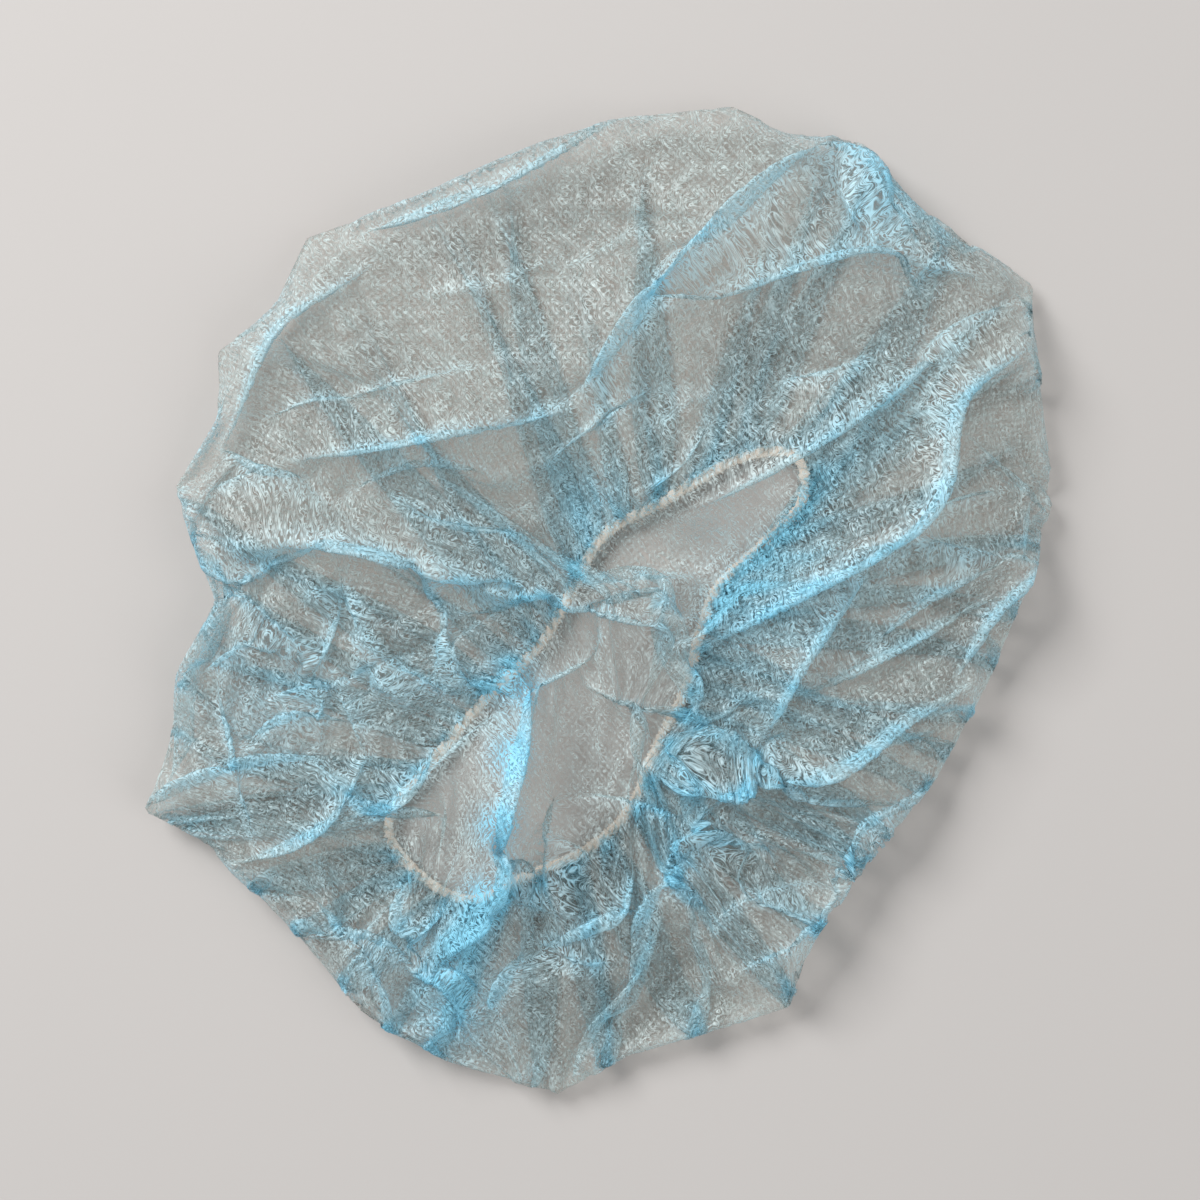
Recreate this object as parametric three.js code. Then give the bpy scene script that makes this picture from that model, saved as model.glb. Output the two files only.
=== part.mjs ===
// A disposable bouffant hairnet: one disc of sheer non-woven cloth whose edge is hemmed over an elastic band.
// It lies on a table on its gathered skirt, mouth down, with its crown slumped into long soft folds.
// Millimetres, +Z up. The origin is under the middle of its outline, on the table.
import * as THREE from "three";
import { mergeVertices } from "three/addons/utils/BufferGeometryUtils.js";

// Driving dimensions.
const WALL = 1.2; // the cloth's wall, far thicker than the real film of fibres
const CROWN_HEIGHT = 31; // how high the slumped crown stands between its folds
const RIM_HEIGHT = 10; // where the crown turns under into the skirt
const RIM_TURN = 7; // how far in from the outline that turn starts
const SLUMP = 0.92; // how far down its ellipse the crown falls before the rim's turn, as a share
const FOLD_FADE = 6; // the folds' height fades toward the rim by this power of the way there
const HEM_HEIGHT = 5; // the hem, folded over the elastic
const HEM_DEPTH = 8;
const HEM_CHAMFER = 0.6; // at the foot and the top of the mouth's edge
const HEM_LAP_SHORT = 1; // how much shorter the hem's upper leaf is than its lower one
const ELASTIC_WIDTH = 3;
const ELASTIC_THICKNESS = 1.2;
const ELASTIC_INSET = 3.9; // from the mouth's edge to the middle of the elastic
const ELASTIC_LIFT = 0.1; // above half the hem's height, midway between the hem's two leaves
const GATHERS = 32; // the main gathers of the skirt, at the hem
const GATHER_HEIGHT = 2.4;
const GATHER_START = 0.5; // how far in from the rim the gathers begin, as a share of the skirt's width
const CLOTH_CENTRE = new THREE.Vector2(0, 23); // where the middle of the disc has come to lie

// The mesh: rings from the middle of the disc to the hem's free edge.
const CROWN_RINGS = 15;
const SKIRT_RINGS = 5;
const HEM_RINGS = 3;
const RINGS = CROWN_RINGS + 1 + SKIRT_RINGS + HEM_RINGS; // one more ring is the outermost line of the rim
const ELASTIC_STEPS = 96;
const ELASTIC_SIDES = 8;

// The outline from above: each lobe's tip and each dent between them. angle is in degrees from +X, reach from the origin.
const OUTLINE = [
  { angle: 0, reach: 123 },
  { angle: 12, reach: 135 },
  { angle: 25, reach: 143 },
  { angle: 31, reach: 146 },
  { angle: 36, reach: 157 },
  { angle: 43, reach: 151 },
  { angle: 50, reach: 148 },
  { angle: 60, reach: 154 },
  { angle: 68, reach: 147 },
  { angle: 75, reach: 149 },
  { angle: 87, reach: 141 },
  { angle: 98, reach: 133 },
  { angle: 114, reach: 128 },
  { angle: 129, reach: 136 },
  { angle: 139, reach: 127 },
  { angle: 147, reach: 133 },
  { angle: 155, reach: 122 },
  { angle: 165, reach: 128 },
  { angle: 180, reach: 111 },
  { angle: 188, reach: 123 },
  { angle: 199, reach: 133 },
  { angle: 205, reach: 146 },
  { angle: 211, reach: 136 },
  { angle: 226, reach: 131 },
  { angle: 240, reach: 139 },
  { angle: 252, reach: 142 },
  { angle: 265, reach: 145 },
  { angle: 274, reach: 133 },
  { angle: 286, reach: 130 },
  { angle: 295, reach: 131 },
  { angle: 303, reach: 115 },
  { angle: 316, reach: 109 },
  { angle: 333, reach: 111 },
  { angle: 348, reach: 116 },
];

// The mouth from above: the line of the elastic, slack and drawn out along one slant.
const MOUTH = [
  { x: 26, y: -8 },
  { x: 31, y: 5 },
  { x: 45, y: 19 },
  { x: 56, y: 31 },
  { x: 55, y: 39 },
  { x: 43, y: 38 },
  { x: 20, y: 25 },
  { x: 4, y: 16 },
  { x: -5, y: 0 },
  { x: -14, y: -15 },
  { x: -29, y: -30 },
  { x: -46, y: -50 },
  { x: -58, y: -66 },
  { x: -52, y: -76 },
  { x: -38, y: -84 },
  { x: -22, y: -77 },
  { x: -6, y: -70 },
  { x: 5, y: -60 },
  { x: 13, y: -42 },
  { x: 21, y: -26 },
];
const MOUTH_TURN = 0.03; // how far round the mouth from its first row the cloth from +X is gathered, as a share of it

// The crown's folds: each runs from one point past a bend to another, and stands rise above the slumped cloth, over a
// ridge spread wide to each side.
const FOLDS = [
  { name: "long diagonal", from: [64, 124], bend: [27, 91], to: [-6, 56], rise: 16, spread: 28 },
  { name: "left arm", from: [-6, 56], bend: [-50, 50], to: [-98, 40], rise: 12, spread: 26 },
  { name: "right arc", from: [20, 82], bend: [74, 108], to: [116, 90], rise: 12, spread: 26 },
  { name: "stretched fold", from: [112, 84], bend: [70, 50], to: [27, 24], rise: 13, spread: 26 },
  { name: "right shoulder", from: [120, 72], bend: [92, 28], to: [30, -8], rise: 16, spread: 28 },
  { name: "right facet edge", from: [122, 10], bend: [103, 12], to: [82, 16], rise: 9, spread: 26 },
  { name: "right leg", from: [82, 14], bend: [58, -10], to: [43, -46], rise: 10, spread: 26 },
  { name: "left sweep", from: [-116, 20], bend: [-60, 24], to: [26, -8], rise: 14, spread: 28 },
  { name: "left hip", from: [-104, 8], bend: [-92, -8], to: [-78, -34], rise: 9, spread: 24 },
  { name: "curled flap", from: [-52, 8], bend: [-46, -20], to: [-26, -28], rise: 9, spread: 24 },
  { name: "middle pleat", from: [-22, -22], bend: [-26, -60], to: [-48, -108], rise: 16, spread: 28 },
  { name: "low sweep", from: [8, -42], bend: [48, -60], to: [104, -30], rise: 11, spread: 26 },
  { name: "tip fold", from: [-126, -58], bend: [-90, -56], to: [-58, -64], rise: 9, spread: 24 },
  { name: "upper left bank", from: [-108, 50], bend: [-92, 82], to: [-60, 98], rise: 9, spread: 24 },
  { name: "bottom left fold", from: [-96, -96], bend: [-66, -92], to: [-44, -96], rise: 8, spread: 24 },
  { name: "bottom tip fold", from: [-12, -134], bend: [-6, -112], to: [-14, -96], rise: 10, spread: 24 },
  { name: "lower right fold", from: [24, -66], bend: [52, -86], to: [86, -86], rise: 9, spread: 24 },
];
const FOLD_STEPS = 10;
const FOLD_END = 0.6; // a fold's height at its ends, as a share of its height at the middle
const BLEND = 4; // two folds that meet share the taller one's height, the more nearly the larger this power

// A round curve through rows of reach by angle, as a function of the angle in radians.
function reachAround(rows) {
  return (angle) => {
    const degrees = ((THREE.MathUtils.radToDeg(angle) % 360) + 360) % 360;
    const last = rows.length - 1;
    let at = rows.findLastIndex((row) => row.angle <= degrees);
    if (at < 0) at = last;
    const next = (at + 1) % rows.length;
    const span = (rows[next].angle - rows[at].angle + 360) % 360;
    const share = ((degrees - rows[at].angle + 360) % 360) / span;
    const ease = (1 - Math.cos(share * Math.PI)) / 2;
    return THREE.MathUtils.lerp(rows[at].reach, rows[next].reach, ease);
  };
}

const outlineReach = reachAround(OUTLINE);

function outlineAt(angle) {
  const reach = outlineReach(angle);
  return new THREE.Vector2(reach * Math.cos(angle), reach * Math.sin(angle));
}

const mouth = new THREE.CatmullRomCurve3(
  MOUTH.map((row) => new THREE.Vector3(row.x, row.y, 0)),
  true,
  "centripetal",
);

// The point of the mouth's line that a line of the cloth at this angle runs to, and the way out of the mouth there.
function mouthAt(angle) {
  const share = (angle / (2 * Math.PI) + MOUTH_TURN + 1) % 1;
  const point = mouth.getPointAt(share);
  const along = mouth.getTangentAt(share);
  return { point: new THREE.Vector2(point.x, point.y), out: new THREE.Vector2(along.y, -along.x).normalize() };
}

const foldLines = FOLDS.map((fold) => {
  const [from, bend, to] = [fold.from, fold.bend, fold.to].map((p) => new THREE.Vector2(...p));
  return { ...fold, points: new THREE.SplineCurve([from, bend, to]).getPoints(FOLD_STEPS) };
});

// How far a point is from a fold's line, and how far along the line its foot lies, from 0 to 1.
function footOn(line, point) {
  let best = { distance: Infinity, share: 0 };
  for (let i = 0; i + 1 < line.length; i++) {
    const step = line[i + 1].clone().sub(line[i]);
    const share = THREE.MathUtils.clamp(point.clone().sub(line[i]).dot(step) / step.lengthSq(), 0, 1);
    const distance = point.distanceTo(line[i].clone().addScaledVector(step, share));
    if (distance < best.distance) best = { distance, share: (i + share) / (line.length - 1) };
  }
  return best;
}

// The folds' height over the slumped crown: a soft maximum of the ridges here, each round-topped and lower at its ends.
function foldRise(point) {
  let sum = 0;
  for (const fold of foldLines) {
    const { distance, share } = footOn(fold.points, point);
    const across = Math.max(0, 1 - distance / fold.spread);
    const along = FOLD_END + (1 - FOLD_END) * Math.sin(share * Math.PI);
    sum += (fold.rise * along * across * across * (3 - 2 * across)) ** BLEND;
  }
  return sum ** (1 / BLEND);
}

// The crown, at a share of the way from the cloth's middle to the outline: it falls as an ellipse to the rim's height.
function crownPoint(angle, share) {
  const rim = outlineAt(angle);
  const inner = rim.clone().addScaledVector(rim.clone().sub(CLOTH_CENTRE).normalize(), -RIM_TURN);
  const at = CLOTH_CENTRE.clone().lerp(inner, share);
  const slump = Math.sqrt(1 - SLUMP * share ** 3);
  const fade = 1 - share ** FOLD_FADE;
  return new THREE.Vector3(at.x, at.y, RIM_HEIGHT + (CROWN_HEIGHT - RIM_HEIGHT) * slump + foldRise(at) * fade);
}

// The skirt, at a share of the way from the rim's turn to the hem: flat on the table, then lifted by its gathers.
function skirtPoint(angle, share) {
  const rim = outlineAt(angle);
  const { point, out } = mouthAt(angle);
  const outer = rim.clone().addScaledVector(rim.clone().sub(CLOTH_CENTRE).normalize(), -RIM_TURN);
  const inner = point.clone().addScaledVector(out, HEM_DEPTH);
  const at = outer.lerp(inner, share);
  const gather = (GATHER_HEIGHT * (1 - Math.cos(GATHERS * angle))) / 2;
  const growth = share < 1 ? Math.max(0, (share - GATHER_START) / (1 - GATHER_START)) : 0;
  return new THREE.Vector3(at.x, at.y, gather * growth);
}

// The hem's rings: in along the table to the mouth, up its edge and back out over the elastic.
const HEM_SECTION = [
  { depth: HEM_CHAMFER, height: 0 },
  { depth: 0, height: HEM_HEIGHT - HEM_CHAMFER },
  { depth: HEM_DEPTH - HEM_LAP_SHORT, height: HEM_HEIGHT },
];

function hemPoint(angle, ring) {
  const { point, out } = mouthAt(angle);
  const { depth, height } = HEM_SECTION[ring];
  const at = point.clone().addScaledVector(out, depth);
  return new THREE.Vector3(at.x, at.y, height);
}

// The outside of the cloth, at a ring counted from the middle of the disc and an angle round it.
function clothPoint(angle, ring) {
  if (ring <= CROWN_RINGS) return crownPoint(angle, ring / CROWN_RINGS);
  const rim = outlineAt(angle);
  if (ring === CROWN_RINGS + 1) return new THREE.Vector3(rim.x, rim.y, RIM_HEIGHT / 2);
  const skirtRing = ring - CROWN_RINGS - 2;
  if (skirtRing < SKIRT_RINGS) return skirtPoint(angle, skirtRing / (SKIRT_RINGS - 1));
  return hemPoint(angle, skirtRing - SKIRT_RINGS);
}

// A grid point of the square from -1 to 1 as a ring and an angle of the disc: each square ring becomes a round one.
function ringAndAngle(x, y) {
  const ring = Math.round(Math.max(Math.abs(x), Math.abs(y)) * RINGS);
  if (ring === 0) return { ring, angle: 0 };
  const quarter = Math.PI / 4;
  if (Math.abs(x) >= Math.abs(y)) return { ring, angle: (x > 0 ? 0 : Math.PI) + (quarter * y) / x };
  return { ring, angle: (y > 0 ? Math.PI / 2 : (3 * Math.PI) / 2) - (quarter * x) / y };
}

// Splits each square of a flat grid along the diagonal that runs away from the middle, as its two triangles then do
// once the squares are bent into rings.
function splitOutward(grid) {
  const corners = grid.getAttribute("position");
  for (let i = 0; i < grid.index.count; i += 6) {
    const [a, b, d, , c] = grid.index.array.slice(i, i + 6);
    const x = corners.getX(a) + corners.getX(c);
    const y = corners.getY(a) + corners.getY(c);
    const falls = (corners.getX(d) - corners.getX(b)) * (corners.getY(d) - corners.getY(b)) < 0;
    if (x * y < 0 !== falls) grid.index.array.set([a, b, c, a, c, d], i);
  }
  return grid;
}

// The cloth as a closed wall: a flat box of squares whose top becomes the outside and whose bottom the inside.
function clothGeometry() {
  const steps = 2 * RINGS;
  const outside = splitOutward(new THREE.PlaneGeometry(2, 2, steps, steps));
  const sheet = outside.getAttribute("position");
  for (let i = 0; i < sheet.count; i++) {
    const { ring, angle } = ringAndAngle(sheet.getX(i), sheet.getY(i));
    sheet.setXYZ(i, ...clothPoint(angle, ring));
  }
  outside.computeVertexNormals();
  const facing = outside.getAttribute("normal");
  const wall = splitOutward(new THREE.BoxGeometry(2, 2, 1, steps, steps, 1));
  const corners = wall.getAttribute("position");
  for (let i = 0; i < corners.count; i++) {
    const column = Math.round((corners.getX(i) + 1) * RINGS);
    const row = Math.round((1 - corners.getY(i)) * RINGS);
    const at = row * (steps + 1) + column;
    const point = new THREE.Vector3().fromBufferAttribute(sheet, at);
    const normal = new THREE.Vector3().fromBufferAttribute(facing, at);
    if (corners.getZ(i) < 0) point.addScaledVector(normal, -WALL);
    corners.setXYZ(i, ...point);
  }
  return closed(wall);
}

// The elastic: a torus drawn out along the mouth, with a flat round-edged section.
function elasticGeometry() {
  const ring = new THREE.TorusGeometry(2, 1, ELASTIC_SIDES, ELASTIC_STEPS);
  const corners = ring.getAttribute("position");
  const middleHeight = HEM_HEIGHT / 2 + ELASTIC_LIFT;
  for (let i = 0; i < corners.count; i++) {
    const angle = Math.atan2(corners.getY(i), corners.getX(i));
    const across = Math.hypot(corners.getX(i), corners.getY(i)) - 2;
    const { point, out } = mouthAt(angle);
    const at = point.addScaledVector(out, ELASTIC_INSET + (across * ELASTIC_WIDTH) / 2);
    corners.setXYZ(i, at.x, at.y, middleHeight + (corners.getZ(i) * ELASTIC_THICKNESS) / 2);
  }
  return closed(ring);
}

// The same faces with shared corners merged, so that the body is closed.
function closed(geometry) {
  geometry.deleteAttribute("normal");
  geometry.deleteAttribute("uv");
  const merged = mergeVertices(geometry, 1e-3);
  merged.computeVertexNormals();
  return merged;
}

function named(name, geometry, material) {
  const mesh = new THREE.Mesh(geometry, material);
  mesh.name = name;
  return mesh;
}

const nonWoven = new THREE.MeshStandardMaterial({ color: 0x9fd2e6, roughness: 0.7, metalness: 0 });
const elasticYarn = new THREE.MeshStandardMaterial({ color: 0xece2d2, roughness: 0.85, metalness: 0 });

const hairnet = new THREE.Group();
hairnet.add(named("cap_cloth", clothGeometry(), nonWoven), named("elastic_band", elasticGeometry(), elasticYarn));

// The origin goes under the middle of the outline's box.
const box = new THREE.Box3().setFromObject(hairnet);
hairnet.position.set(-(box.min.x + box.max.x) / 2, -(box.min.y + box.max.y) / 2, -box.min.z);

export default hairnet;
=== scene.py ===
"""The looks of a disposable hairnet: a sheer non-woven disc on a slack elastic, lying mouth down.

The cloth is draped here by a small position-based solver: the flat disc is laid out as a bag over its
mouth, is pulled towards its cut size, sinks under its own weight and is pinched together along chosen
folds. Nothing stops one part of the cloth from passing through another, apart from a map that keeps the
crown over the skirt.
"""

import math

import bpy
import numpy as np
from bpy.props import FloatProperty, IntProperty, PointerProperty, StringProperty
from bpy.types import Operator, Panel, PropertyGroup
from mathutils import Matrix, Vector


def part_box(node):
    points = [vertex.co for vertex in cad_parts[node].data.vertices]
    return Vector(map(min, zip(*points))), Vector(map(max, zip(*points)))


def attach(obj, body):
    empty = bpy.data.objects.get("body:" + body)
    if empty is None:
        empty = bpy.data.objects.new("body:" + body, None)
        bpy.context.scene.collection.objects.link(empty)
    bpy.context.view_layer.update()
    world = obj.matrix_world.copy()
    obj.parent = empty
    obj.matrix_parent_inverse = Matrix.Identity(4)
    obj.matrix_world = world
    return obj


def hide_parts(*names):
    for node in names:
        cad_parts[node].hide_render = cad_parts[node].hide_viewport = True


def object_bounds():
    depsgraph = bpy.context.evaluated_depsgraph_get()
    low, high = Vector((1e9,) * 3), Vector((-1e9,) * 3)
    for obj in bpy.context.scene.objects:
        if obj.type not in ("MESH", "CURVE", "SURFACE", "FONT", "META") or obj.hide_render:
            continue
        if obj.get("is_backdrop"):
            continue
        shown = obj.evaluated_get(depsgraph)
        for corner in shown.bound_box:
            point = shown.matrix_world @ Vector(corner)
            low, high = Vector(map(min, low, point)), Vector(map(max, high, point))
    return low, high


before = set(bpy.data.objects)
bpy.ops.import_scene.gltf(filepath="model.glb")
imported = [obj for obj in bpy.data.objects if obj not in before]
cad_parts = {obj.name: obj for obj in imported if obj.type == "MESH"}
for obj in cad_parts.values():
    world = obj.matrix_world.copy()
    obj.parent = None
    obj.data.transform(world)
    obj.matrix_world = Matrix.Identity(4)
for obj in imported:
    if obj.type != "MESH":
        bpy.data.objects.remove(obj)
CAD_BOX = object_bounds()

bl_info = {
    "name": "Disposable Hairnet",
    "version": (1, 0, 0),
    "blender": (4, 5, 0),
    "location": "3D View > Sidebar > Hairnet",
    "description": "Drapes a gathered non-woven cap with its elastic over a pale floor",
    "category": "Object",
}

MM = 0.001

# The mouth from above, in mm: the line inside the slack elastic, before it is centred on the frame's
# elastic.
MOUTH = [
    (26, -8), (31, 5), (45, 19), (56, 31), (55, 39), (43, 38), (20, 25), (4, 16), (-5, 0), (-14, -15),
    (-29, -30), (-46, -50), (-58, -66), (-52, -76), (-38, -84), (-22, -77), (-6, -70), (5, -60), (13, -42),
    (21, -26),
]
RIM_TUCKS = 34
SKIRT_TUCKS = 60
MOUTH_TURN = 0.03  # how far round the mouth from its first row the cloth from +X is gathered
# The cap's outline from above: degrees round from +X and mm from the origin.
OUTLINE = [
    (0, 123), (12, 135), (25, 143), (31, 146), (36, 157), (43, 151), (50, 148), (60, 154),
    (68, 147), (75, 149), (87, 141), (98, 133), (114, 128), (129, 136), (139, 127), (147, 133),
    (155, 122), (165, 128), (180, 111), (188, 123), (199, 133), (205, 146), (211, 136), (226, 131),
    (240, 139), (252, 142), (265, 145), (274, 133), (286, 130), (295, 131), (303, 115), (316, 109),
    (333, 111), (348, 116),
]
CLOTH_CENTRE = (0, 23)  # where the middle of the disc has come to lie, in mm

# The crown's main folds: name, height, how much cloth each of the two sides takes up, the side of its
# line that the fold leans to (1 is left) and the line that it follows. Heights, takes and lines are in
# mm.
FOLD_FIELDS = ("name", "height", "take", "lean", "line")
FOLDS = [
    ("long diagonal", 22, 11, -1, [(64, 130), (27, 91), (-6, 56)]),
    ("left arm", 17, 6, 1, [(-6, 56), (-50, 49), (-90, 41)]),
    ("right arc", 17, 7, -1, [(20, 82), (74, 102), (114, 93)]),
    ("shoulder", 20, 9, 1, [(124, 74), (103, 62), (96, 50), (90, 29), (56, 6), (30, -12)]),
    ("stretched fold", 16, 6, 1, [(114, 82), (74, 56), (27, 26)]),
    ("facet edge", 13, 5, -1, [(128, 10), (103, 12), (80, 16)]),
    ("right leg", 15, 6, 1, [(79, 12), (56, -15), (43, -45)]),
    ("low sweep", 15, 7, -1, [(10, -45), (26, -53), (64, -47), (87, -32), (106, -25)]),
    ("left sweep", 20, 8, -1, [(-118, 16), (-74, 19), (-27, 6), (27, -8)]),
    ("left hip", 13, 6, 1, [(-109, 2), (-98, -5), (-83, -22), (-78, -32)]),
    ("left knot", 14, 4, 1, [(-87, -2), (-74, 3)]),
    ("left knee", 14, 6, -1, [(-70, -7), (-66, -15), (-53, -32)]),
    ("curled flap", 16, 5, 1, [(-45, 2), (-40, -24), (-27, -26)]),
    ("middle pleat", 22, 8.5, 1, [(-25, -19), (-23, -30), (-32, -67), (-29, -80), (-48, -104)]),
    ("inner pleat", 14, 4, 1, [(-60, -62), (-46, -50), (-27, -30)]),
    ("tip fold", 9, 7, 1, [(-133, -60), (-100, -50), (-80, -47)]),
    ("upper left bank", 13, 6, 1, [(-64, 98), (-79, 90), (-95, 79), (-104, 60), (-109, 44)]),
    ("upper level fold", 10, 3, -1, [(-56, 89), (-32, 92), (-9, 101)]),
    ("rim strip", 8, 7, -1, [(-71, 107), (-41, 119), (1, 139)]),
    ("small left fold", 10, 4, -1, [(-78, 59), (-47, 67), (-32, 70)]),
    ("lower short fold", 12, 6, 1, [(30, -62), (49, -73)]),
    ("lower cross fold", 12, 5, 1, [(19, -79), (29, -64)]),
    ("lower right rim", 10, 6, 1, [(37, -110), (58, -101), (79, -73)]),
    ("bottom fold", 11, 7, 1, [(-48, -105), (-35, -114)]),
]
# Shorter folds between them: the middle and half sizes of the patch that they lie in, how many, how long,
# how much cloth each side takes up, and the way that they mostly run. Sizes are in mm and turns in
# degrees.
CREASE_FIELDS = ("middle", "half", "count", "length", "take", "turn")
CREASES = [
    ((-78, -24), (40, 42), 18, (22, 52), (4.5, 7.5), (0, 180)),
    ((-14, -96), (60, 26), 17, (20, 44), (5.0, 8.5), (0, 180)),
    ((58, -62), (38, 32), 10, (22, 50), (4.5, 7.0), (-70, 70)),
    ((88, 25), (30, 42), 6, (26, 60), (4.0, 6.0), (10, 60)),
    ((-55, 38), (45, 22), 6, (26, 60), (4.0, 6.0), (-25, 25)),
    ((5, 35), (22, 22), 4, (24, 44), (3.5, 5.0), (20, 60)),
    ((-2, -32), (28, 36), 8, (24, 50), (3.0, 4.5), (-90, 50)),
    ((78, 112), (14, 14), 4, (22, 40), (5.0, 8.0), (-60, -30)),
    ((-20, 100), (55, 20), 3, (24, 44), (2.0, 3.0), (0, 45)),
]
CREASE_HEIGHT = 9.0  # mm
BANK_BASE = 6  # mm, the height that every fold's bank starts from
BANK_RISE = 1.3  # times a fold's height that its bank rises over that
FOLD_FOOT = 4.0  # mm to each side of its line that a fold stands on
FULL_TAKE = 6  # mm, from which a fold counts as wholly folded
FOLD_PITCH = 0.45  # radians, the slope at which a fold leans over

# Where the cloth lies bunched in tucks too fine to drape: the patch's name, its middle and half width in
# mm, and how tightly.
BUNCHES = [
    ("right of the mouth", (45, 2), 24, 1.0),
    ("left of the mouth's neck", (-2, 28), 11, 1.0),
    ("upper right corner", (82, 118), 17, 1.2),
    ("head of the middle pleat", (-25, -24), 8, 3.5),
    ("middle pleat over the mouth", (-26, -44), 7, 3.5),
    ("middle pleat above the hem", (-29, -64), 7, 3.5),
    ("middle pleat below the hem", (-33, -84), 7, 3.5),
    ("foot of the middle pleat", (-40, -99), 8, 2.5),
    ("lower left rim", (-43, -119), 14, 2.2),
    ("left of the mouth", (-98, -30), 17, 1.0),
]
BUNCH_MOST = 4

# How the cloth is draped, coarse to fine: points along a side of the grid, steps, sweeps a step, sink a
# step (mm), the size (mm) and pitch (cells a side) of the crinkles put in first, and how firmly folds are
# pinched.
PASSES = [
    {"points": 75, "steps": 200, "sweeps": 6, "sink": 0.12, "crinkle": 2.0, "cells": 16, "pinch": 0.0},
    {"points": 150, "steps": 120, "sweeps": 6, "sink": 0.06, "crinkle": 1.3, "cells": 44, "pinch": 0.3},
    {"points": 300, "steps": 60, "sweeps": 6, "sink": 0.03, "crinkle": 0.3, "cells": 110, "pinch": 0.3},
]
SEED = 5
MAP_CELL = 1.0  # mm, of the maps of heights
MAP_HALF = 160.0

RIM_HOLD = 0.9  # how far a sweep draws the rim to its place on the outline
HEM_OUT = 4.3  # mm outside the mouth's line that the gathered edge lies
HEM_IN_AND_OUT = 1.6  # mm, of the gathers at the edge
HEM_UP_AND_DOWN = 2.6  # mm, of the same gathers
BEND = 0.25  # how much of the cloth's bend a sweep takes out
PRESS = 0.6  # how much of a tie's shortening a sweep takes out
KEEP_MOVING = 0.93  # of a step's movement that the next step begins with
LONGEST_MOVE = 1.5  # mm a step, along each axis
RISE_LIMIT = 4  # mm, past which a point is lifted slowly out of what it is under
SLOW_LIFT, QUICK_LIFT = 0.25, 0.8
CROWN_SHARE = 0.95  # of the slack from the middle to the mouth that the crown gets
CROWN_MARGIN = 0.02  # of the radius, inside the rim, that the folds keep out of
LEAF_GAP = 0.4  # mm, from the middle of a fold to each of its two leaves
LAYER_GAP = 0.4  # mm, between the crown and the skirt under it
FLOOR_GAP = 0.3  # mm, between the cloth's middle and the floor
CROWN_TOP = 42.0  # mm
SKIRT_TOP = 8.0  # mm
LEAST_CLOTH = 2.0  # radians round from +X, where the cap has least cloth

SLANT_MOST = 4  # times as dense as when seen flat on
SLANT_FLOOR = 0.05  # the least upward part of a normal that is told apart
FOLDED_SLANT, BUNCHED_SLANT = 2.2, 0.8
FOLDED_LAYERS, BUNCHED_LAYERS = 2.0, 3.5
BOND_PITCH = 2.55  # mm, from one row of bond points to the next but one: 1.8 mm to the nearest

ELASTIC_OUT = 3.9  # mm outside the mouth's line that the elastic's middle lies
ELASTIC_HALF_THICKNESS = 0.6  # mm
ELASTIC_OVER_HEM = 0.8  # mm

FRAME_WIDTH = 0.354  # metres of floor across the view
FLOOR_HALF = 8.0  # metres


def linear(code):
    """An sRGB hex colour as linear red, green, blue and one."""
    parts = [int(code[i : i + 2], 16) / 255 for i in (1, 3, 5)]
    return tuple(c / 12.92 if c <= 0.04045 else ((c + 0.055) / 1.055) ** 2.4 for c in parts) + (1.0,)


# ------------------------------------------------ the lines that the cloth is laid out between


def outline_reach():
    """How far the cap reaches from the origin, in mm, as a function of the angle in radians: straight
    from each corner of OUTLINE to the next."""
    turns, reaches = np.radians([row[0] for row in OUTLINE]), np.array([row[1] for row in OUTLINE], float)
    corners = np.stack([np.cos(turns), np.sin(turns)], axis=-1) * reaches[:, None]
    share = np.linspace(0, 1, 40, endpoint=False)[:, None, None]
    points = (corners + (np.roll(corners, -1, axis=0) - corners) * share).reshape(-1, 2)
    at = np.arctan2(points[:, 1], points[:, 0]) % (2 * np.pi)
    order = np.argsort(at)
    distance = np.hypot(points[:, 0], points[:, 1])[order]
    return lambda angle: np.interp(angle, at[order], distance, period=2 * np.pi)


def round_line(points, closed, count=2000):
    """A line drawn smoothly through points (centripetal Catmull-Rom), evenly spaced at count + 1
    points."""
    points = np.asarray(points, float)
    if closed:
        points = np.vstack([points[-1], points, points[:2]])
    else:
        points = np.vstack([2 * points[0] - points[1], points, 2 * points[-1] - points[-2]])
    pieces = []
    for p0, p1, p2, p3 in zip(points, points[1:], points[2:], points[3:]):
        knots = np.cumsum([0] + [np.linalg.norm(b - a) ** 0.5 for a, b in ((p0, p1), (p1, p2), (p2, p3))])
        t = np.linspace(knots[1], knots[2], 60, endpoint=False)[:, None]

        def between(a, b, i, j):
            return (knots[j] - t) / (knots[j] - knots[i]) * a + (t - knots[i]) / (knots[j] - knots[i]) * b

        first, second, third = between(p0, p1, 0, 1), between(p1, p2, 1, 2), between(p2, p3, 2, 3)
        pieces.append(between(between(first, second, 0, 2), between(second, third, 1, 3), 1, 2))
    line = np.vstack([*pieces, points[-2]])
    along = np.concatenate([[0], np.cumsum(np.linalg.norm(np.diff(line, axis=0), axis=1))])
    at = np.linspace(0, along[-1], count + 1)
    return np.stack([np.interp(at, along, line[:, k]) for k in range(line.shape[1])], axis=1)


def mouth_line():
    """The mouth's line in mm, moved so that its box has the middle of the frame's elastic."""
    line = round_line(MOUTH, closed=True)
    low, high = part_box("elastic_band")
    middle = np.array([(low.x + high.x) / 2, (low.y + high.y) / 2]) / MM
    return line + middle - (line.min(0) + line.max(0)) / 2


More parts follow.
